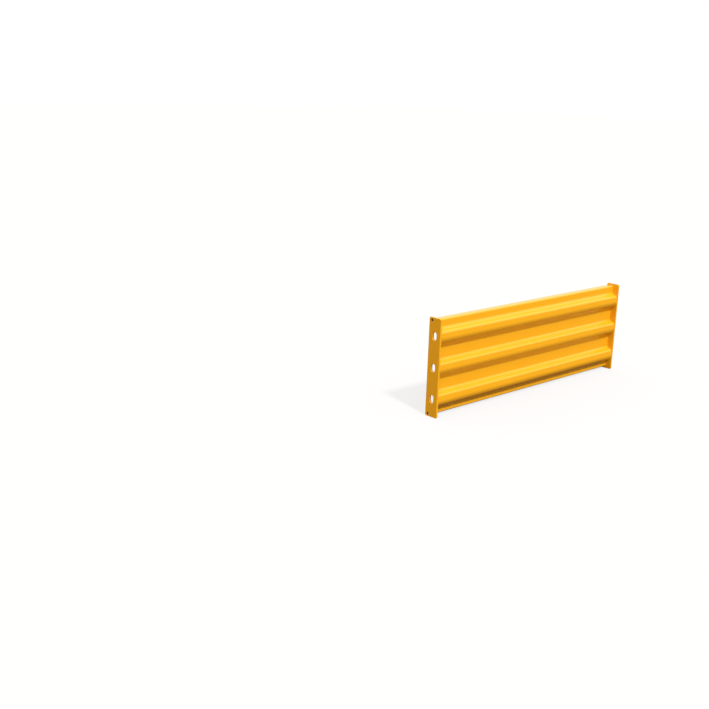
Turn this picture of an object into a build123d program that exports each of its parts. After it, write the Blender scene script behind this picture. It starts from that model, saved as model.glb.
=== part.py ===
from build123d import *
from math import atan2, tan
import os

# Guard-rail panel: a roll-formed steel sheet with three ribs, welded between two slotted end plates.
# Frame: X along the rail, Y from the ribbed front to the open back, Z up. The origin is on the
# floor in the middle of the panel.

INCH = 25.4

# End plates, in millimetres
PANEL_LENGTH = 44.0 * INCH
PLATE_HEIGHT = 15.0 * INCH
PLATE_WIDTH = 2.25 * INCH
PLATE_THICKNESS = 0.3125 * INCH
PLATE_CORNER_RADIUS = 0.25 * INCH
PLATE_EDGE_ROUND = 0.8

# Bolt slots, one for each rib, and the small holes near the back corners
SLOT_WIDTH = 0.75 * INCH
SLOT_LENGTH = 1.25 * INCH
SMALL_HOLE_DIAMETER = 9.5
SMALL_HOLE_FROM_BACK = 13.5
SMALL_HOLE_FROM_END = 10.5

# Roll-formed sheet, with bend radii on its front face
SHEET_THICKNESS = 3.0
FLANGE_BEND_RADIUS = 6.0
WEB_BEND_RADIUS = 5.0
CREST_TOP_BEND_RADIUS = 9.0
CREST_FOOT_BEND_RADIUS = 27.0
SHEET_BELOW_PLATE_TOP = 8.5
SHEET_ABOVE_PLATE_FOOT = 8.0
FLANGE_INSIDE_PLATE_BACK = 2.0
CREST_INSIDE_PLATE_FRONT = 1.0

# Ribs, spread evenly between the flat webs at the sheet's top and bottom
RIB_COUNT = 3
RIB_DEPTH = 1.0 * INCH
CREST_HEIGHT = 34.5
UPPER_SLOPE_HEIGHT = 11.0
LOWER_SLOPE_HEIGHT = 31.5
TOP_WEB_HEIGHT = 32.0
BOTTOM_WEB_HEIGHT = 14.2

# Fillet welds behind the sheet
WELD_LEG = 5.0
WELD_CROWN = 0.6
WELD_END_GAP = 1.0

# Places worked out from the sizes
plate_front = -PLATE_WIDTH / 2
plate_back = PLATE_WIDTH / 2
crest_front = plate_front + CREST_INSIDE_PLATE_FRONT
web_front = crest_front + RIB_DEPTH
flange_back = plate_back - FLANGE_INSIDE_PLATE_BACK
sheet_top = PLATE_HEIGHT - SHEET_BELOW_PLATE_TOP
sheet_bottom = SHEET_ABOVE_PLATE_FOOT
sheet_length = PANEL_LENGTH - 2 * PLATE_THICKNESS
rib_height = UPPER_SLOPE_HEIGHT + CREST_HEIGHT + LOWER_SLOPE_HEIGHT
ribbed_height = sheet_top - TOP_WEB_HEIGHT - sheet_bottom - BOTTOM_WEB_HEIGHT
rib_pitch = (ribbed_height - rib_height) / (RIB_COUNT - 1)
web_height = rib_pitch - rib_height


def bend_reach(radius, slope_height):
    """How far the bend between a flat and a rib's slope reaches along the flat."""
    return radius * tan(atan2(RIB_DEPTH, slope_height) / 2)


def crest_centre(rib):
    """Height of the middle of a rib's crest, counting from the top."""
    top_crest = sheet_top - TOP_WEB_HEIGHT - UPPER_SLOPE_HEIGHT - CREST_HEIGHT / 2
    return top_crest - rib * rib_pitch


def slot_centre(rib):
    """Height of a rib's bolt slot: the slots keep the ribs' pitch, about the plate's middle."""
    return PLATE_HEIGHT / 2 + ((RIB_COUNT - 1) / 2 - rib) * rib_pitch


def front_outline():
    """Corners of the sheet's front face in the Y, Z plane, from the top flange down."""
    corners = [(flange_back, sheet_top), (web_front, sheet_top)]
    for rib in range(RIB_COUNT):
        crest_top = crest_centre(rib) + CREST_HEIGHT / 2
        crest_bottom = crest_centre(rib) - CREST_HEIGHT / 2
        corners += [
            (web_front, crest_top + UPPER_SLOPE_HEIGHT),
            (crest_front, crest_top),
            (crest_front, crest_bottom),
            (web_front, crest_bottom - LOWER_SLOPE_HEIGHT),
        ]
    corners += [(web_front, sheet_bottom), (flange_back, sheet_bottom)]
    return corners


def make_rail_sheet():
    """The roll-formed sheet: its bent section run straight along the rail."""
    corners = front_outline()
    rib_bends = [WEB_BEND_RADIUS, CREST_TOP_BEND_RADIUS, CREST_FOOT_BEND_RADIUS, WEB_BEND_RADIUS]
    bend_radii = [FLANGE_BEND_RADIUS] + RIB_COUNT * rib_bends + [FLANGE_BEND_RADIUS]
    section_plane = Plane(origin=(-sheet_length / 2, 0, 0), x_dir=(0, 1, 0), z_dir=(1, 0, 0))
    with BuildPart() as sheet:
        with BuildSketch(section_plane):
            with BuildLine():
                front_face = FilletPolyline(*corners, radius=bend_radii)
                offset(front_face, amount=SHEET_THICKNESS, side=Side.LEFT)
            make_face()
        extrude(amount=sheet_length)
    return sheet.part


def make_end_plate(side):
    """A flat end plate with rounded corners, upright bolt slots and two small holes."""
    outer_face = side * PANEL_LENGTH / 2
    inner_face = side * sheet_length / 2
    left_face = Plane(origin=(min(outer_face, inner_face), 0, 0), x_dir=(0, 1, 0), z_dir=(1, 0, 0))
    small_hole_across = plate_back - SMALL_HOLE_FROM_BACK
    with BuildPart() as plate:
        with BuildSketch(left_face):
            with Locations((0, PLATE_HEIGHT / 2)):
                RectangleRounded(PLATE_WIDTH, PLATE_HEIGHT, PLATE_CORNER_RADIUS)
        extrude(amount=PLATE_THICKNESS)
        faces_across = plate.faces().sort_by(Axis.X)
        fillet(faces_across[0].edges() + faces_across[-1].edges(), radius=PLATE_EDGE_ROUND)
        with BuildSketch(left_face):
            with Locations(*[(0, slot_centre(rib)) for rib in range(RIB_COUNT)]):
                SlotOverall(SLOT_LENGTH, SLOT_WIDTH, rotation=90)
            with Locations(
                (small_hole_across, SMALL_HOLE_FROM_END),
                (small_hole_across, PLATE_HEIGHT - SMALL_HOLE_FROM_END),
            ):
                Circle(SMALL_HOLE_DIAMETER / 2)
        extrude(amount=PLATE_THICKNESS, mode=Mode.SUBTRACT)
    return plate.part


def make_weld(side, middle, open_direction, length):
    """A fillet weld in the corner between the sheet's back face and a plate's inner face."""
    away_from_plate = Vector(-side, 0, 0)
    run = away_from_plate.cross(Vector(*open_direction))
    start = Plane(origin=Vector(*middle) - run * (length / 2), x_dir=away_from_plate, z_dir=run)
    crown = WELD_LEG / 2 + WELD_CROWN
    with BuildPart() as weld:
        with BuildSketch(start):
            with BuildLine():
                Polyline((WELD_LEG, 0), (0, 0), (0, WELD_LEG))
                ThreePointArc((0, WELD_LEG), (crown, crown), (WELD_LEG, 0))
            make_face()
        extrude(amount=length)
    return weld.part


def make_upright_weld(side, back_face, top, bottom):
    """A weld up the back of a flat that ends at a rib's bends, with a gap left at each end."""
    middle = (side * sheet_length / 2, back_face, (top + bottom) / 2)
    return make_weld(side, middle, (0, 1, 0), top - bottom - 2 * WELD_END_GAP)


def make_flange_weld(side, inner_face, open_direction):
    """A weld along the inner face of a return flange."""
    flat_start = web_front + FLANGE_BEND_RADIUS
    middle = (side * sheet_length / 2, (flat_start + flange_back) / 2, inner_face)
    return make_weld(side, middle, open_direction, flange_back - flat_start - 2 * WELD_LEG)


def make_welds(side):
    """The welds of one end by name: both flanges, the back of each rib, and the webs between."""
    welds = {
        "top_flange": make_flange_weld(side, sheet_top - SHEET_THICKNESS, (0, 0, -1)),
        "bottom_flange": make_flange_weld(side, sheet_bottom + SHEET_THICKNESS, (0, 0, 1)),
    }
    crest_back = crest_front + SHEET_THICKNESS
    web_back = web_front + SHEET_THICKNESS
    for rib in range(RIB_COUNT):
        top_reach = bend_reach(CREST_TOP_BEND_RADIUS, UPPER_SLOPE_HEIGHT)
        foot_reach = bend_reach(CREST_FOOT_BEND_RADIUS, LOWER_SLOPE_HEIGHT)
        flat_top = crest_centre(rib) + CREST_HEIGHT / 2 - top_reach
        flat_foot = crest_centre(rib) - CREST_HEIGHT / 2 + foot_reach
        welds[f"rib_{rib + 1}"] = make_upright_weld(side, crest_back, flat_top, flat_foot)
    for rib in range(RIB_COUNT - 1):
        web_top = crest_centre(rib) - CREST_HEIGHT / 2 - LOWER_SLOPE_HEIGHT
        flat_top = web_top - bend_reach(WEB_BEND_RADIUS, LOWER_SLOPE_HEIGHT)
        flat_foot = web_top - web_height + bend_reach(WEB_BEND_RADIUS, UPPER_SLOPE_HEIGHT)
        welds[f"web_{rib + 1}"] = make_upright_weld(side, web_back, flat_top, flat_foot)
    return welds


os.makedirs("parts", exist_ok=True)
export_step(make_rail_sheet(), "parts/rail_sheet.step")
for side, side_name in ((-1, "left"), (1, "right")):
    export_step(make_end_plate(side), f"parts/end_plate_{side_name}.step")
    for weld_name, weld in make_welds(side).items():
        export_step(weld, f"parts/weld_{side_name}_{weld_name}.step")
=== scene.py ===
"""Looks of a guard-rail panel: a powder-coated steel sheet with three ribs between two end plates."""

import logging
import math
from dataclasses import dataclass
from enum import Enum

import bmesh
import bpy
from mathutils import Matrix, Vector


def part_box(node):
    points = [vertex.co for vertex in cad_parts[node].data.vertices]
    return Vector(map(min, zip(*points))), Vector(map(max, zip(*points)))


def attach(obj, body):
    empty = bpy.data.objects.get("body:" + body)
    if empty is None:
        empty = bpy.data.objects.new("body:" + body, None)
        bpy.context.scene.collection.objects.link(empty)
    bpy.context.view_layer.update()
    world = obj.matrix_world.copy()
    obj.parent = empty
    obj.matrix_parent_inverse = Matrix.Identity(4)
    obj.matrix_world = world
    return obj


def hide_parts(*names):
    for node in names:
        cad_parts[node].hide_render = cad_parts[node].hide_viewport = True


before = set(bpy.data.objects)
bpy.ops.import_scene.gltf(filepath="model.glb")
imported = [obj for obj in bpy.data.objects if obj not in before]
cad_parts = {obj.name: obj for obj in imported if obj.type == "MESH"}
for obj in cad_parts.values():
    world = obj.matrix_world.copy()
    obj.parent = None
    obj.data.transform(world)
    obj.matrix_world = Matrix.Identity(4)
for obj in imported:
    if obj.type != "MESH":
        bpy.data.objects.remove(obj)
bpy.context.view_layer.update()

MM = 0.001
INCH = 25.4 * MM
BODY = "root"
# Points of a mesh that lie closer than this are one point.
SAME_POINT = 0.001 * MM
# Sockets of a Mix node that blends colours, by number because several of them share a name.
MIX_SHARE = 0
MIX_FIRST = 6
MIX_SECOND = 7
MIX_RESULT = 2

log = logging.getLogger("guard_rail_panel")


class End(Enum):
    """The two ends of the panel, by the sign of X on which they stand."""

    LEFT = -1
    RIGHT = 1


class Facing(Enum):
    """The way a weld's open side faces."""

    BACK = (0.0, 1.0, 0.0)
    UP = (0.0, 0.0, 1.0)
    DOWN = (0.0, 0.0, -1.0)


def linear(hex_colour: str) -> tuple[float, float, float, float]:
    """Turn an sRGB hex colour into the linear colour that shaders take.

    Args:
        hex_colour: Six hex digits after a hash sign, such as "#F6B722".

    Returns:
        Linear red, green and blue, with an alpha of one.
    """
    # The numbers are those of the sRGB standard's curve.
    channels = []
    for start in (1, 3, 5):
        value = int(hex_colour[start:start + 2], 16) / 255
        channels.append(value / 12.92 if value <= 0.04045 else ((value + 0.055) / 1.055) ** 2.4)
    return (channels[0], channels[1], channels[2], 1.0)


def add_node(
    tree: bpy.types.NodeTree,
    kind: str,
    values: dict[str | int, object] | None = None,
    links: dict[str | int, bpy.types.NodeSocket] | None = None,
    **settings: object,
) -> bpy.types.Node:
    """Add a node to a tree with its settings, its plain values and its incoming links.

    Args:
        tree: The shader or geometry tree.
        kind: The node's type, such as "ShaderNodeBump".
        values: Input name or number to its value.
        links: Input name or number to the output that feeds it.
        **settings: The node's own properties.

    Returns:
        The new node.
    """
    node = tree.nodes.new(kind)
    for name, value in settings.items():
        setattr(node, name, value)
    for name, value in (values or {}).items():
        node.inputs[name].default_value = value
    for name, output in (links or {}).items():
        tree.links.new(output, node.inputs[name])
    return node


def new_object(name: str, mesh: bpy.types.Mesh) -> bpy.types.Object:
    """Put a mesh in the scene as an object at the origin.

    Args:
        name: The object's name, which its mesh takes too.
        mesh: The finished mesh, with its place in its points.

    Returns:
        The new object.
    """
    mesh.name = name
    piece = bpy.data.objects.new(name, mesh)
    bpy.context.scene.collection.objects.link(piece)
    return piece


def bake(carrier: bpy.types.Object) -> bpy.types.Mesh:
    """Turn an object with its modifiers into a plain mesh and delete the object.

    Args:
        carrier: The object that carries the modifiers.

    Returns:
        The finished mesh, tied to nothing.
    """
    graph = bpy.context.evaluated_depsgraph_get()
    mesh = bpy.data.meshes.new_from_object(carrier.evaluated_get(graph))
    bpy.data.objects.remove(carrier)
    return mesh


def set_inputs(modifier: bpy.types.NodesModifier, values: dict[str, object]) -> None:
    """Set a Geometry Nodes modifier's inputs by the identifiers of their sockets.

    Args:
        modifier: The modifier, with its tree already given.
        values: Socket name to its value.
    """
    identifiers = {
        item.name: item.identifier
        for item in modifier.node_group.interface.items_tree
        if item.item_type == "SOCKET" and item.in_out == "INPUT"
    }
    for name, value in values.items():
        modifier[identifiers[name]] = value


def flat_shaded_bends(mesh: bpy.types.Mesh, sharp_above: float) -> bpy.types.Mesh:
    """Smooth a mesh's bends while its flats keep their true normals.

    Args:
        mesh: The mesh to shade.
        sharp_above: Angle in radians over which an edge stays sharp.

    Returns:
        The shaded mesh, with its normals stored.
    """
    mesh.shade_smooth()
    mesh.set_sharp_from_angle(angle=sharp_above)
    carrier = new_object("shading_carrier", mesh)
    weighted = carrier.modifiers.new("weighted", "WEIGHTED_NORMAL")
    weighted.mode = "FACE_AREA"
    # At its full weight, a bend's narrow faces no longer tilt the normals of the flats beside it.
    weighted.weight = 100
    weighted.keep_sharp = True
    return bake(carrier)


@dataclass(frozen=True)
class PowderCoat:
    """Polyester powder coat, sprayed dry on steel and baked: a smooth even skin with a soft gloss.

    Up close it has the faint orange peel of melted powder and slow drifts of tone, where the film
    is thicker. It is a plastic film, so it is not metallic.
    """

    colour: str = "#E8AA1E"
    deep_colour: str = "#E6A51C"
    roughness: float = 0.14
    roughness_spread: float = 0.03
    ior: float = 1.55
    film_drift: float = 90 * MM
    drift_detail: float = 3.0
    drift_roughness: float = 0.55
    # Real orange peel is 1 to 3 mm across and about 0.02 mm deep. It is drawn at 6 mm so that it
    # shows, and deeper in the same measure, which keeps its slopes.
    peel_width: float = 6 * MM
    peel_depth: float = 0.09 * MM
    peel_detail: float = 2.0
    peel_roughness: float = 0.4

    def make(self, name: str) -> bpy.types.Material:
        """Build the coat's material.

        Args:
            name: The material's name.

        Returns:
            The material.
        """
        material = bpy.data.materials.new(name)
        material.use_nodes = True
        tree = material.node_tree
        tree.nodes.clear()
        place = add_node(tree, "ShaderNodeTexCoord").outputs["Object"]
        drift = add_node(
            tree,
            "ShaderNodeTexNoise",
            values={
                "Scale": 1 / self.film_drift,
                "Detail": self.drift_detail,
                "Roughness": self.drift_roughness,
            },
            links={"Vector": place},
        )
        colour = add_node(
            tree,
            "ShaderNodeMix",
            values={MIX_FIRST: linear(self.deep_colour), MIX_SECOND: linear(self.colour)},
            links={MIX_SHARE: drift.outputs["Fac"]},
            data_type="RGBA",
        )
        roughness = add_node(
            tree,
            "ShaderNodeMapRange",
            values={
                "To Min": self.roughness - self.roughness_spread,
                "To Max": self.roughness + self.roughness_spread,
            },
            links={"Value": drift.outputs["Fac"]},
        )
        peel = add_node(
            tree,
            "ShaderNodeTexNoise",
            values={
                "Scale": 1 / self.peel_width,
                "Detail": self.peel_detail,
                "Roughness": self.peel_roughness,
            },
            links={"Vector": place},
        )
        bump = add_node(
            tree,
            "ShaderNodeBump",
            values={"Strength": 1.0, "Distance": self.peel_depth},
            links={"Height": peel.outputs["Fac"]},
        )
        shader = add_node(
            tree,
            "ShaderNodeBsdfPrincipled",
            values={"Metallic": 0.0, "IOR": self.ior},
            links={
                "Base Color": colour.outputs[MIX_RESULT],
                "Roughness": roughness.outputs["Result"],
                "Normal": bump.outputs["Normal"],
            },
        )
        add_node(tree, "ShaderNodeOutputMaterial", links={"Surface": shader.outputs["BSDF"]})
        return material


@dataclass(frozen=True)
class BareSteelAndHoleShade:
    """Hot-rolled steel still under its mill scale, where a hanging hook kept the powder off.

    The scale is a thin dark blue-grey oxide, dull and slightly uneven. Its colour is drawn darker still,
    as painted shade for the inside of the small holes, so each hole reads as black.
    """

    # These near-black colours are partly the scale's own and partly painted shade inside the small
    # holes.
    colour: str = "#2B2A2B"
    worn_colour: str = "#3A3735"
    roughness: float = 0.6
    patch_size: float = 3 * MM
    patch_detail: float = 2.0

    def make(self, name: str) -> bpy.types.Material:
        """Build the steel's material.

        Args:
            name: The material's name.

        Returns:
            The material.
        """
        material = bpy.data.materials.new(name)
        material.use_nodes = True
        tree = material.node_tree
        tree.nodes.clear()
        place = add_node(tree, "ShaderNodeTexCoord").outputs["Object"]
        patches = add_node(
            tree,
            "ShaderNodeTexNoise",
            values={"Scale": 1 / self.patch_size, "Detail": self.patch_detail},
            links={"Vector": place},
        )
        colour = add_node(
            tree,
            "ShaderNodeMix",
            values={MIX_FIRST: linear(self.colour), MIX_SECOND: linear(self.worn_colour)},
            links={MIX_SHARE: patches.outputs["Fac"]},
            data_type="RGBA",
        )
        shader = add_node(
            tree,
            "ShaderNodeBsdfPrincipled",
            values={"Metallic": 0.0, "Roughness": self.roughness},
            links={"Base Color": colour.outputs[MIX_RESULT]},
        )
        add_node(tree, "ShaderNodeOutputMaterial", links={"Surface": shader.outputs["BSDF"]})
        return material


@dataclass
class RailSheet:
    """The roll-formed sheet: a front face bent into three ribs, with a return flange at each edge.

    The rolls leave each crest slightly crowned and ease the bends at the top and foot of each rib,
    which keeps within 2 mm of the frame's plain section.
    """

    thickness: float = 3.0 * MM
    flange_bend_radius: float = 6.0 * MM
    rib_top_bend_radius: float = 12.0 * MM
    crest_top_bend_radius: float = 10.0 * MM
    crest_foot_bend_radius: float = 33.0 * MM
    rib_foot_bend_radius: float = 18.0 * MM
    rib_count: int = 3
    rib_depth: float = 1.0 * INCH
    crest_height: float = 34.5 * MM
    upper_slope_height: float = 11.0 * MM
    lower_slope_height: float = 31.5 * MM
    # The crest's upper corner stands back from its foremost line, and its lower corner stands
    # forward, where the wide bend rounds it off again.
    crest_top_back: float = 1.2 * MM
    crest_foot_forward: float = 0.75 * MM
    # The corners at a rib's top and foot stand closer to the crest, to suit their wide bends.
    rib_top_lowered: float = 3.0 * MM
    rib_foot_raised: float = 4.0 * MM
    top_web_height: float = 32.0 * MM
    bottom_web_height: float = 14.2 * MM
    bend_segments: int = 12
    sheared_edge_round: float = 0.5 * MM
    edge_segments: int = 3
    least_share_along: float = 0.99
    sharp_above: float = math.radians(35)

    def outline(self, low: Vector, high: Vector) -> list[tuple[float, float, float]]:
        """Work out the corners of the front face's section, from the top flange down.

        Args:
            low: The sheet's lowest corner.
            high: The sheet's highest corner.

        Returns:
            Depth, height and bend radius of each corner.
        """
        crest = low.y
        web = crest + self.rib_depth
        rib_height = self.upper_slope_height + self.crest_height + self.lower_slope_height
        ribbed = high.z - self.top_web_height - low.z - self.bottom_web_height
        pitch = (ribbed - rib_height) / (self.rib_count - 1)
        corners = [(high.y, high.z, 0.0), (web, high.z, self.flange_bend_radius)]
        for rib in range(self.rib_count):
            slope_top = high.z - self.top_web_height - rib * pitch
            crest_top = slope_top - self.upper_slope_height * (1 - self.crest_top_back / self.rib_depth)
            crest_foot = slope_top - self.upper_slope_height - self.crest_height
            corners += [
                (web, slope_top - self.rib_top_lowered, self.rib_top_bend_radius),
                (crest + self.crest_top_back, crest_top, self.crest_top_bend_radius),
                (crest - self.crest_foot_forward, crest_foot, self.crest_foot_bend_radius),
                (web, slope_top - rib_height + self.rib_foot_raised, self.rib_foot_bend_radius),
            ]
        corners += [(web, low.z, self.flange_bend_radius), (high.y, low.z, 0.0)]
        return corners

    def bending_tree(self) -> bpy.types.NodeTree:
        """Build the Geometry Nodes that round a section's corners and run it along the rail.

        Returns:
            The tree, with inputs for the sheet's length, bend segments and coat.
        """
        tree = bpy.data.node_groups.new("bent_sheet", "GeometryNodeTree")
        face = tree.interface
        face.new_socket("Section", in_out="INPUT", socket_type="NodeSocketGeometry")
        face.new_socket("Sheet Length", in_out="INPUT", socket_type="NodeSocketFloat")
        face.new_socket("Bend Segments", in_out="INPUT", socket_type="NodeSocketInt")
        face.new_socket("Coat", in_out="INPUT", socket_type="NodeSocketMaterial")
        face.new_socket("Sheet", in_out="OUTPUT", socket_type="NodeSocketGeometry")
        given = add_node(tree, "NodeGroupInput").outputs
        section = add_node(tree, "GeometryNodeMeshToCurve", links={"Mesh": given["Section"]})
        radius = add_node(tree, "GeometryNodeInputNamedAttribute", values={"Name": "bend_radius"})
        bends = add_node(
            tree,
            "GeometryNodeFilletCurve",
            mode="POLY",
            links={
                "Curve": section.outputs["Curve"],
                "Count": given["Bend Segments"],
                "Radius": radius.outputs["Attribute"],
            },
        )
        wire = add_node(tree, "GeometryNodeCurveToMesh", links={"Curve": bends.outputs["Curve"]})
        along = add_node(tree, "ShaderNodeCombineXYZ", links={"X": given["Sheet Length"]})
        run = add_node(
            tree,
            "GeometryNodeExtrudeMesh",
            mode="EDGES",
            links={"Mesh": wire.outputs["Mesh"], "Offset": along.outputs["Vector"]},
        )
        real = add_node(tree, "GeometryNodeRealizeInstances", links={"Geometry": run.outputs["Mesh"]})
        coated = add_node(
            tree,
            "GeometryNodeSetMaterial",
            links={"Geometry": real.outputs["Geometry"], "Material": given["Coat"]},
        )
        add_node(tree, "NodeGroupOutput", links={"Sheet": coated.outputs["Geometry"]})
        return tree

    def front_face(self, coat: bpy.types.Material) -> bpy.types.Mesh:
        """Run the section along the rail as an open front face.

        Args:
            coat: The finish of the sheet.

        Returns:
            The open mesh of the front face.
        """
        low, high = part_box("rail_sheet")
        corners = self.outline(low, high)
        section = bpy.data.meshes.new("section")
        points = [(low.x, depth, height) for depth, height, _ in corners]
        section.from_pydata(points, [(k, k + 1) for k in range(len(points) - 1)], [])
        radii = section.attributes.new("bend_radius", "FLOAT", "POINT")
        radii.data.foreach_set("value", [radius for _, _, radius in corners])
        carrier = new_object("sheet_carrier", section)
        modifier = carrier.modifiers.new("bends", "NODES")
        modifier.node_group = self.bending_tree()
        set_inputs(
            modifier,
            {"Sheet Length": high.x - low.x, "Bend Segments": self.bend_segments, "Coat": coat},
        )
        return bake(carrier)

    def thicken(self, face: bpy.types.Mesh) -> bpy.types.Mesh:
        """Give the front face the sheet's thickness behind it and round its sheared edges.

        Args:
            face: The open front face.

        Returns:
            The closed sheet.
        """
        shape = bmesh.new()
        shape.from_mesh(face)
        bmesh.ops.remove_doubles(shape, verts=shape.verts, dist=SAME_POINT)
        foremost = min(shape.faces, key=lambda f: f.calc_center_median().y)
        if foremost.normal.y > 0:
            bmesh.ops.reverse_faces(shape, faces=shape.faces)
        shape.to_mesh(face)
        shape.free()
        carrier = new_object("thick_carrier", face)
        solid = carrier.modifiers.new("thickness", "SOLIDIFY")
        solid.thickness = self.thickness
        solid.offset = -1.0
        solid.use_even_offset = True
        sheet = bake(carrier)
        self.round_sheared_edges(sheet)
        return sheet

    def round_sheared_edges(self, sheet: bpy.types.Mesh) -> None:
        """Round the long edges that the shear left along both flanges.

        Args:
            sheet: The closed sheet, which is changed in place.
        """
        shape = bmesh.new()
        shape.from_mesh(sheet)
        along = [
            edge
            for edge in shape.edges
            if abs((edge.verts[0].co - edge.verts[1].co).normalized().x) > self.least_share_along
            and edge.calc_face_angle(0.0) > self.sharp_above
        ]
        bmesh.ops.bevel(
            shape,
            geom=along,
            offset=self.sheared_edge_round,
            segments=self.edge_segments,
            profile=0.5,
            affect="EDGES",
        )
        bmesh.ops.recalc_face_normals(shape, faces=shape.faces)
        shape.to_mesh(sheet)
        shape.free()

    def build(self, coat: bpy.types.Material) -> bpy.types.Object:
        """Make the finished sheet in place of its CAD node.

        Args:
            coat: The finish of the sheet.

        Returns:
            The sheet.
        """
        sheet = self.thicken(self.front_face(coat))
        piece = new_object("rail_sheet_formed", flat_shaded_bends(sheet, self.sharp_above))
        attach(piece, BODY)
        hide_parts("rail_sheet")
        return piece


@dataclass
class EndPlate:
    """A flat end plate, cut from bar, with upright bolt slots and a small hole near each back corner."""

    end: End
    corner_radius: float = 0.25 * INCH
    edge_round: float = 0.8 * MM
    slot_width: float = 0.75 * INCH
    slot_length: float = 1.25 * INCH
    slot_pitch: float = 4.75 * INCH
    slot_count: int = 3
    small_hole_diameter: float = 9.5 * MM
    small_hole_from_back: float = 13.5 * MM
    small_hole_from_end: float = 10.5 * MM
    corner_segments: int = 10
    shortest_side: float = 0.01 * MM
    round_segments: int = 3
    # The material slot of the bare steel, whose dark colour paints the shade inside the small holes.
    bare_and_shaded_slot: int = 1
    sharp_above: float = math.radians(40)

    def node(self) -> str:
        """Name the CAD node that this plate stands for."""
        return f"end_plate_{self.end.name.lower()}"

    def rounded_outline(
        self, middle: tuple[float, float], width: float, height: float, radius: float
    ) -> list[tuple[float, float]]:
        """Work out a rounded rectangle, slot or circle, anticlockwise.

        Args:
            middle: Depth and height of its middle.
            width: Its size in depth.
            height: Its size in height.
            radius: The radius of its corners.

        Returns:
            Depth and height of each point.
        """
        points = []
        for quarter, (right, up) in enumerate(((1, 1), (-1, 1), (-1, -1), (1, -1))):
            centre_y = middle[0] + right * (width / 2 - radius)
            centre_z = middle[1] + up * (height / 2 - radius)
            for step in range(self.corner_segments + 1):
                turn = math.radians(90) * (quarter + step / self.corner_segments)
                point = (centre_y + radius * math.cos(turn), centre_z + radius * math.sin(turn))
                if not points or math.dist(point, points[-1]) > self.shortest_side:
                    points.append(point)
        if math.dist(points[0], points[-1]) <= self.shortest_side:
            points.pop()
        return points

    def small_holes(self, low: Vector, high: Vector) -> list[tuple[float, float]]:
        """Work out the depth and height of the middle of each small hole.

        Args:
            low: The plate's lowest corner.
            high: The plate's highest corner.

        Returns:
            The two middles, the lower one first.
        """
        across = high.y - self.small_hole_from_back
        heights = (low.z + self.small_hole_from_end, high.z - self.small_hole_from_end)
        return [(across, height) for height in heights]

    def outlines(self, low: Vector, high: Vector) -> list[list[tuple[float, float]]]:
        """List the plate's rim, its slots and its small holes.

        Args:
            low: The plate's lowest corner.
            high: The plate's highest corner.

        Returns:
            The outline of each.
        """
        across = (low.y + high.y) / 2
        up = (low.z + high.z) / 2
        loops = [
            self.rounded_outline((across, up), high.y - low.y, high.z - low.z, self.corner_radius)
        ]
        for slot in range(self.slot_count):
            height = up + ((self.slot_count - 1) / 2 - slot) * self.slot_pitch
            loops.append(
                self.rounded_outline(
                    (across, height), self.slot_width, self.slot_length, self.slot_width / 2
                )
            )
        diameter = self.small_hole_diameter
        for middle in self.small_holes(low, high):
            loops.append(self.rounded_outline(middle, diameter, diameter, diameter / 2))
        return loops

    def cut_plate(self) -> bpy.types.Mesh:
        """Fill the outlines and give them the plate's thickness and rounded rims.

        Returns:
            The plate's mesh, in its place.
        """
        low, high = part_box(self.node())
        flat = bpy.data.curves.new("plate_outlines", "CURVE")
        flat.dimensions = "2D"
        flat.fill_mode = "BOTH"
        flat.extrude = (high.x - low.x) / 2 - self.edge_round
        flat.bevel_depth = self.edge_round
        flat.bevel_resolution = self.round_segments
        flat.offset = -self.edge_round
        for loop in self.outlines(low, high):
            spline = flat.splines.new("POLY")
            spline.points.add(len(loop) - 1)
            for point, (across, up) in zip(spline.points, loop):
                point.co = (across, up, 0.0, 1.0)
            spline.use_cyclic_u = True
        carrier = bpy.data.objects.new("plate_carrier", flat)
        bpy.context.scene.collection.objects.link(carrier)
        mesh = bake(carrier)
        # The flat outline's first axis becomes depth and its second one height.
        upright = Matrix(((0, 0, 1), (1, 0, 0), (0, 1, 0))).to_4x4()
        mesh.transform(Matrix.Translation(((low.x + high.x) / 2, 0, 0)) @ upright)
        shape = bmesh.new()
        shape.from_mesh(mesh)
        bmesh.ops.remove_doubles(shape, verts=shape.verts, dist=SAME_POINT)
        bmesh.ops.recalc_face_normals(shape, faces=shape.faces)
        shape.to_mesh(mesh)
        shape.free()
        return mesh

    def bare_and_shade_the_small_holes(self, mesh: bpy.types.Mesh) -> None:
        """Give the walls of the small holes the mesh's second material.

        Args:
            mesh: The plate's mesh, which is changed in place.
        """
        # The hole walls get the bare steel, whose dark colour is painted shade inside the holes.
        reach = (self.small_hole_diameter + self.edge_round) / 2
        middles = self.small_holes(*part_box(self.node()))
        for face in mesh.polygons:
            place = (face.center.y, face.center.z)
            if any(math.dist(place, middle) < reach for middle in middles):
                face.material_index = self.bare_and_shaded_slot

    def build(self, coat: bpy.types.Material) -> bpy.types.Object:
        """Make the finished plate in place of its CAD node.

        Args:
            coat: The finish of the plate.

        Returns:
            The plate.
        """
        mesh = flat_shaded_bends(self.cut_plate(), self.sharp_above)
        mesh.materials.clear()
        mesh.materials.append(coat)
        # The second material is bare steel, whose dark colour also paints the shade inside the small
        # holes.
        mesh.materials.append(BareSteelAndHoleShade().make(f"bare_steel_{self.end.name.lower()}"))
        self.bare_and_shade_the_small_holes(mesh)
        piece = new_object(f"{self.node()}_cut", mesh)
        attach(piece, BODY)
        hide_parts(self.node())
        return piece


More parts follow.
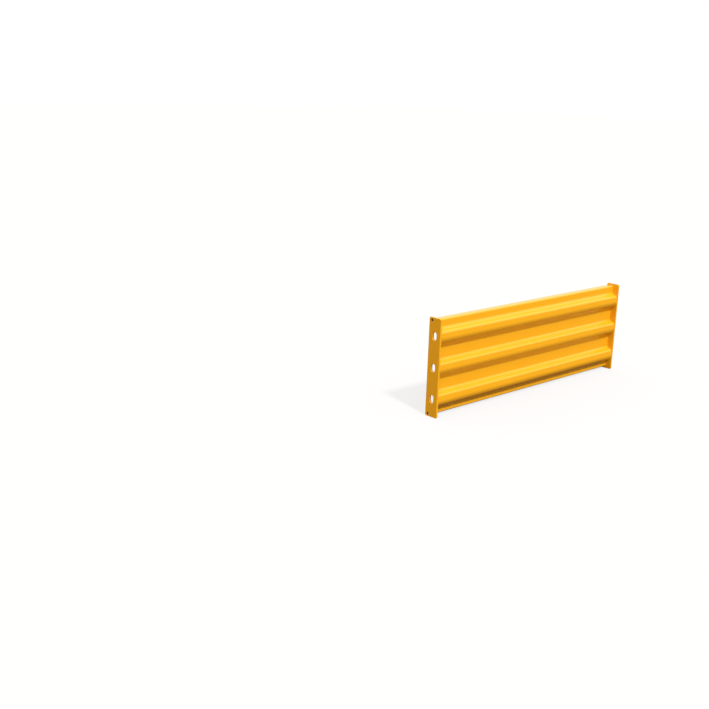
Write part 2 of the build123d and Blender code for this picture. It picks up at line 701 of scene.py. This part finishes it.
@dataclass
class WeldSet:
    """The rippled fillet welds that join the back of the sheet to one end plate."""

    end: End
    crown: float = 0.6 * MM
    crown_segments: int = 10
    ripple_pitch: float = 2.2 * MM
    ripple_height: float = 0.3 * MM
    points_per_ripple: int = 8
    width_spread: float = 0.12
    wander_length: float = 9.0 * MM
    end_taper: float = 3.5 * MM
    smallest_end: float = 0.15
    seed: int = 7
    sharp_above: float = math.radians(60)

    def runs(self) -> dict[str, Facing]:
        """Name the CAD node of each weld and the way its open side faces."""
        side = f"weld_{self.end.name.lower()}"
        uprights = [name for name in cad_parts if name.startswith((f"{side}_rib", f"{side}_web"))]
        facings = {name: Facing.BACK for name in sorted(uprights)}
        facings[f"{side}_top_flange"] = Facing.DOWN
        facings[f"{side}_bottom_flange"] = Facing.UP
        return facings

    def ripple_steps(self) -> tuple[tuple, ...]:
        """List the sums that give a weld its ends, its uneven width and its crescent ripples.

        Returns:
            The name of each result, its operation, and its terms by name or as plain numbers.
        """
        return (
            ("to_far_end", "SUBTRACT", "Weld Length", "Z"),
            ("to_end", "MINIMUM", "Z", "to_far_end"),
            ("end_share", "DIVIDE", "to_end", "End Taper"),
            ("inside", "MINIMUM", "end_share", 1.0),
            ("short", "SUBTRACT", 1.0, "inside"),
            ("short_squared", "MULTIPLY", "short", "short"),
            ("round_squared", "SUBTRACT", 1.0, "short_squared"),
            ("rounded", "SQRT", "round_squared"),
            ("taper", "MAXIMUM", "rounded", self.smallest_end),
            ("thinning", "MULTIPLY", "wander", "Width Spread"),
            ("width", "SUBTRACT", 1.0, "thinning"),
            ("bead_size", "MULTIPLY", "taper", "width"),
            ("across", "SUBTRACT", "X", "Y"),
            ("across_squared", "MULTIPLY", "across", "across"),
            ("bow", "DIVIDE", "across_squared", "Weld Leg"),
            ("bowed", "ADD", "Z", "bow"),
            ("ripples", "DIVIDE", "bowed", "Ripple Pitch"),
            ("uneven_ripples", "ADD", "ripples", "wander"),
            ("turn", "MULTIPLY", "uneven_ripples", math.pi),
            ("wave", "SINE", "turn"),
            ("ridge", "ABSOLUTE", "wave"),
            ("below_ridge", "SUBTRACT", "ridge", 1.0),
            ("face_share", "MULTIPLY", "X", "Y"),
            ("deepened", "MULTIPLY", "below_ridge", "face_share"),
            ("dip", "MULTIPLY", "deepened", "Ripple Strength"),
        )

    def ripple_tree(self) -> bpy.types.NodeTree:
        """Build the Geometry Nodes that run a weld's section along its length in ripples.

        Returns:
            The tree, with inputs for the weld's sizes, its ripples, seed and coat.
        """
        tree = bpy.data.node_groups.new("rippled_weld", "GeometryNodeTree")
        face = tree.interface
        face.new_socket("Section", in_out="INPUT", socket_type="NodeSocketGeometry")
        sizes = ("Weld Length", "Weld Leg", "Point Spacing", "Ripple Pitch", "Ripple Strength")
        for name in (*sizes, "Width Spread", "Wander Scale", "End Taper", "Seed"):
            face.new_socket(name, in_out="INPUT", socket_type="NodeSocketFloat")
        face.new_socket("Coat", in_out="INPUT", socket_type="NodeSocketMaterial")
        face.new_socket("Weld", in_out="OUTPUT", socket_type="NodeSocketGeometry")
        given = add_node(tree, "NodeGroupInput").outputs
        place = add_node(tree, "GeometryNodeInputPosition").outputs["Position"]
        parts = add_node(tree, "ShaderNodeSeparateXYZ", links={"Vector": place}).outputs
        wander = add_node(
            tree,
            "ShaderNodeTexNoise",
            noise_dimensions="4D",
            links={"Vector": place, "W": given["Seed"], "Scale": given["Wander Scale"]},
        )
        known = {socket.name: socket for socket in (*given, *parts) if socket.name}
        known["wander"] = wander.outputs["Fac"]
        for name, operation, *terms in self.ripple_steps():
            plain = {order: term for order, term in enumerate(terms) if not isinstance(term, str)}
            fed = {order: known[term] for order, term in enumerate(terms) if isinstance(term, str)}
            step = add_node(tree, "ShaderNodeMath", plain, fed, operation=operation)
            known[name] = step.outputs["Value"]
        run_end = add_node(tree, "ShaderNodeCombineXYZ", links={"Z": given["Weld Length"]})
        line = add_node(
            tree, "GeometryNodeCurvePrimitiveLine", links={"End": run_end.outputs["Vector"]}
        )
        fine = add_node(
            tree,
            "GeometryNodeResampleCurve",
            mode="LENGTH",
            links={"Curve": line.outputs["Curve"], "Length": given["Point Spacing"]},
        )
        section = add_node(tree, "GeometryNodeMeshToCurve", links={"Mesh": given["Section"]})
        bead = add_node(
            tree,
            "GeometryNodeCurveToMesh",
            values={"Fill Caps": True},
            links={
                "Curve": fine.outputs["Curve"],
                "Profile Curve": section.outputs["Curve"],
                "Scale": known["bead_size"],
            },
        )
        inwards = add_node(tree, "ShaderNodeCombineXYZ", links={"X": known["dip"], "Y": known["dip"]})
        rippled = add_node(
            tree,
            "GeometryNodeSetPosition",
            links={"Geometry": bead.outputs["Mesh"], "Offset": inwards.outputs["Vector"]},
        )
        real = add_node(
            tree, "GeometryNodeRealizeInstances", links={"Geometry": rippled.outputs["Geometry"]}
        )
        coated = add_node(
            tree,
            "GeometryNodeSetMaterial",
            links={"Geometry": real.outputs["Geometry"], "Material": given["Coat"]},
        )
        add_node(tree, "NodeGroupOutput", links={"Weld": coated.outputs["Geometry"]})
        return tree

    def section(self, leg: float) -> bpy.types.Mesh:
        """Draw a weld's section: two legs along the corner and a face that swells to its crown.

        Args:
            leg: The length of each leg.

        Returns:
            A closed loop of edges.
        """
        points = [(0.0, 0.0, 0.0)]
        for step in range(self.crown_segments + 1):
            share = step / self.crown_segments
            height = self.crown * 4 * share * (1 - share)
            swell = height / math.sqrt(2)
            points.append(((1 - share) * leg + swell, share * leg + swell, 0.0))
        mesh = bpy.data.meshes.new("weld_section")
        mesh.from_pydata(points, [(k, (k + 1) % len(points)) for k in range(len(points))], [])
        return mesh

    def bead(
        self,
        node: str,
        facing: Facing,
        tree: bpy.types.NodeTree,
        seed: int,
        coat: bpy.types.Material,
    ) -> bpy.types.Mesh:
        """Make one weld in the place of its CAD node.

        Args:
            node: The CAD node's name.
            facing: The way its open side faces.
            tree: The Geometry Nodes that make it.
            seed: The seed of its uneven ripples.
            coat: The finish over the weld.

        Returns:
            The weld's mesh, in its place.
        """
        low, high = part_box(node)
        inward = Vector((-self.end.value, 0, 0))
        open_side = Vector(facing.value)
        run = inward.cross(open_side)
        leg = high.x - low.x
        size = high - low
        length = abs(size.dot(run))
        corner = Vector((high.x if self.end is End.RIGHT else low.x, low.y, low.z))
        if facing is Facing.DOWN:
            corner.z = high.z
        if run.x + run.y + run.z < 0:
            corner -= run * length
        # At the middle of the flat face, the distances from the two legs multiply to this.
        middle_share = leg**2 / 4
        carrier = new_object("weld_carrier", self.section(leg))
        modifier = carrier.modifiers.new("ripples", "NODES")
        modifier.node_group = tree
        set_inputs(
            modifier,
            {
                "Weld Length": length,
                "Weld Leg": leg,
                "Point Spacing": self.ripple_pitch / self.points_per_ripple,
                "Ripple Pitch": self.ripple_pitch,
                "Ripple Strength": self.ripple_height / middle_share,
                "Width Spread": self.width_spread,
                "Wander Scale": 1 / self.wander_length,
                "End Taper": self.end_taper,
                "Seed": float(seed),
                "Coat": coat,
            },
        )
        mesh = bake(carrier)
        turn = Matrix((inward, open_side, run)).transposed().to_4x4()
        mesh.transform(Matrix.Translation(corner) @ turn)
        return mesh

    def build(self, coat: bpy.types.Material) -> bpy.types.Object:
        """Make all the welds of this end as one piece in place of their CAD nodes.

        Args:
            coat: The finish over the welds.

        Returns:
            The welds.
        """
        tree = self.ripple_tree()
        shape = bmesh.new()
        for order, (node, facing) in enumerate(self.runs().items()):
            mesh = self.bead(node, facing, tree, self.seed + order, coat)
            shape.from_mesh(mesh)
            bpy.data.meshes.remove(mesh)
        bmesh.ops.remove_doubles(shape, verts=shape.verts, dist=SAME_POINT)
        bmesh.ops.recalc_face_normals(shape, faces=shape.faces)
        welds = bpy.data.meshes.new("welds")
        shape.to_mesh(welds)
        shape.free()
        welds.materials.append(coat)
        welds.shade_smooth()
        welds.set_sharp_from_angle(angle=self.sharp_above)
        piece = new_object(f"welds_{self.end.name.lower()}", welds)
        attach(piece, BODY)
        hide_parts(*self.runs())
        return piece


@dataclass
class Studio:
    """A white floor under soft light, and a camera where the photograph's stood."""

    image_width_px: float = 709.0
    focal_length_px: float = 1000.0
    sensor_width_mm: float = 36.0
    farthest_seen: float = 200.0
    # Found by fitting the corners of the panel to where they stand in the picture.
    camera_place: tuple[float, float, float] = (-3.1444, -2.4461, 1.2186)
    camera_aim: tuple[float, float, float] = (-0.94947, 0.0, 0.30635)
    camera_roll: float = math.radians(1.6188)
    key_from: tuple[float, float, float] = (-0.14, -0.63, 0.78)
    key_strength: float = 3.1
    key_angle: float = math.radians(6)
    sky_colour: str = "#FFF6EC"
    sky_strength: float = 1.04
    floor_size: float = 60.0
    paper_colour: str = "#CACACA"
    unlit_colour: str = "#5A401E"
    paper_glow: float = 0.75
    # The coat is neither metal nor glass, and all of the white floor in its gloss would turn the
    # ribs' undersides pale.
    paper_in_gloss: float = 0.03

    def add_camera(self) -> None:
        """Set the camera at the photograph's angle, with its small roll."""
        lens = bpy.data.cameras.new("camera")
        lens.sensor_fit = "HORIZONTAL"
        lens.sensor_width = self.sensor_width_mm
        lens.lens = self.focal_length_px / self.image_width_px * self.sensor_width_mm
        lens.clip_end = self.farthest_seen
        camera = bpy.data.objects.new("camera", lens)
        bpy.context.scene.collection.objects.link(camera)
        ahead = Vector(self.camera_aim) - Vector(self.camera_place)
        level = ahead.to_track_quat("-Z", "Y").to_matrix().to_4x4()
        roll = Matrix.Rotation(self.camera_roll, 4, "Z")
        camera.matrix_world = Matrix.Translation(self.camera_place) @ level @ roll
        bpy.context.scene.camera = camera

    def add_key(self) -> None:
        """Add the soft distant lamp that stands high in front of the panel, slightly to its left."""
        lamp = bpy.data.lights.new("key", "SUN")
        lamp.energy = self.key_strength
        lamp.angle = self.key_angle
        sun = bpy.data.objects.new("key", lamp)
        bpy.context.scene.collection.objects.link(sun)
        sun.rotation_euler = (-Vector(self.key_from)).to_track_quat("-Z", "Y").to_euler()

    def add_sky(self) -> None:
        """Light the panel evenly from a white sky, which shows behind it and in its gloss too."""
        world = bpy.data.worlds.new("studio")
        bpy.context.scene.world = world
        world.use_nodes = True
        tree = world.node_tree
        tree.nodes.clear()
        even = add_node(
            tree,
            "ShaderNodeBackground",
            values={"Color": linear(self.sky_colour), "Strength": self.sky_strength},
        )
        white = add_node(
            tree, "ShaderNodeBackground", values={"Color": linear("#FFFFFF"), "Strength": 1.0}
        )
        mixed = add_node(
            tree,
            "ShaderNodeMixShader",
            links={
                0: self.seen_directly(tree, gloss_share=1.0),
                1: even.outputs["Background"],
                2: white.outputs["Background"],
            },
        )
        add_node(tree, "ShaderNodeOutputWorld", links={"Surface": mixed.outputs["Shader"]})

    def seen_directly(self, tree: bpy.types.NodeTree, gloss_share: float) -> bpy.types.NodeSocket:
        """Tell camera, transmitted and glossy rays from the rest.

        Args:
            tree: The shader tree to add the nodes to.
            gloss_share: How much of the background glossy rays see.

        Returns:
            An output that is one for camera and transmitted rays and the share for glossy ones.
        """
        ray = add_node(tree, "ShaderNodeLightPath").outputs
        gloss = add_node(
            tree,
            "ShaderNodeMath",
            values={1: gloss_share},
            links={0: ray["Is Glossy Ray"]},
            operation="MULTIPLY",
        )
        straight = add_node(
            tree,
            "ShaderNodeMath",
            links={0: ray["Is Camera Ray"], 1: ray["Is Transmission Ray"]},
            operation="MAXIMUM",
        )
        seen = add_node(
            tree,
            "ShaderNodeMath",
            links={0: straight.outputs["Value"], 1: gloss.outputs["Value"]},
            operation="MAXIMUM",
        )
        return seen.outputs["Value"]

    def add_floor(self) -> None:
        """Lay a pale floor that keeps the panel's soft shadow and fades into the white behind.

        It sends little and warm light back up, because the ribs' undersides are deep in colour.
        """
        half = self.floor_size / 2
        mesh = bpy.data.meshes.new("floor")
        mesh.from_pydata(
            [(-half, -half, 0), (half, -half, 0), (half, half, 0), (-half, half, 0)], [], [(0, 1, 2, 3)]
        )
        floor = new_object("floor", mesh)
        material = bpy.data.materials.new("studio_paper")
        material.use_nodes = True
        tree = material.node_tree
        tree.nodes.clear()
        seen = self.seen_directly(tree, gloss_share=self.paper_in_gloss)
        colour = add_node(
            tree,
            "ShaderNodeMix",
            values={MIX_FIRST: linear(self.unlit_colour), MIX_SECOND: linear(self.paper_colour)},
            links={MIX_SHARE: seen},
            data_type="RGBA",
        )
        matt = add_node(tree, "ShaderNodeBsdfDiffuse", links={"Color": colour.outputs[MIX_RESULT]})
        glow = add_node(tree, "ShaderNodeEmission", values={"Strength": 1.0})
        share = add_node(
            tree, "ShaderNodeMath", values={1: self.paper_glow}, links={0: seen}, operation="MULTIPLY"
        )
        paper = add_node(
            tree,
            "ShaderNodeMixShader",
            links={0: share.outputs["Value"], 1: matt.outputs["BSDF"], 2: glow.outputs["Emission"]},
        )
        add_node(tree, "ShaderNodeOutputMaterial", links={"Surface": paper.outputs["Shader"]})
        mesh.materials.append(material)

    def build(self) -> None:
        """Set up the floor, the light and the camera."""
        self.add_floor()
        self.add_sky()
        self.add_key()
        self.add_camera()
        bpy.context.scene.view_settings.view_transform = "Standard"


def main() -> None:
    """Build the studio and every piece of the panel."""
    logging.basicConfig(level=logging.INFO, format="%(name)s: %(message)s")
    Studio().build()
    coat = PowderCoat().make("yellow_powder_coat")
    makers = [RailSheet()] + [kind(end) for kind in (EndPlate, WeldSet) for end in End]
    for maker in makers:
        piece = maker.build(coat)
        log.info("%s: %d faces", piece.name, len(piece.data.polygons))


if __name__ == "__main__":
    main()
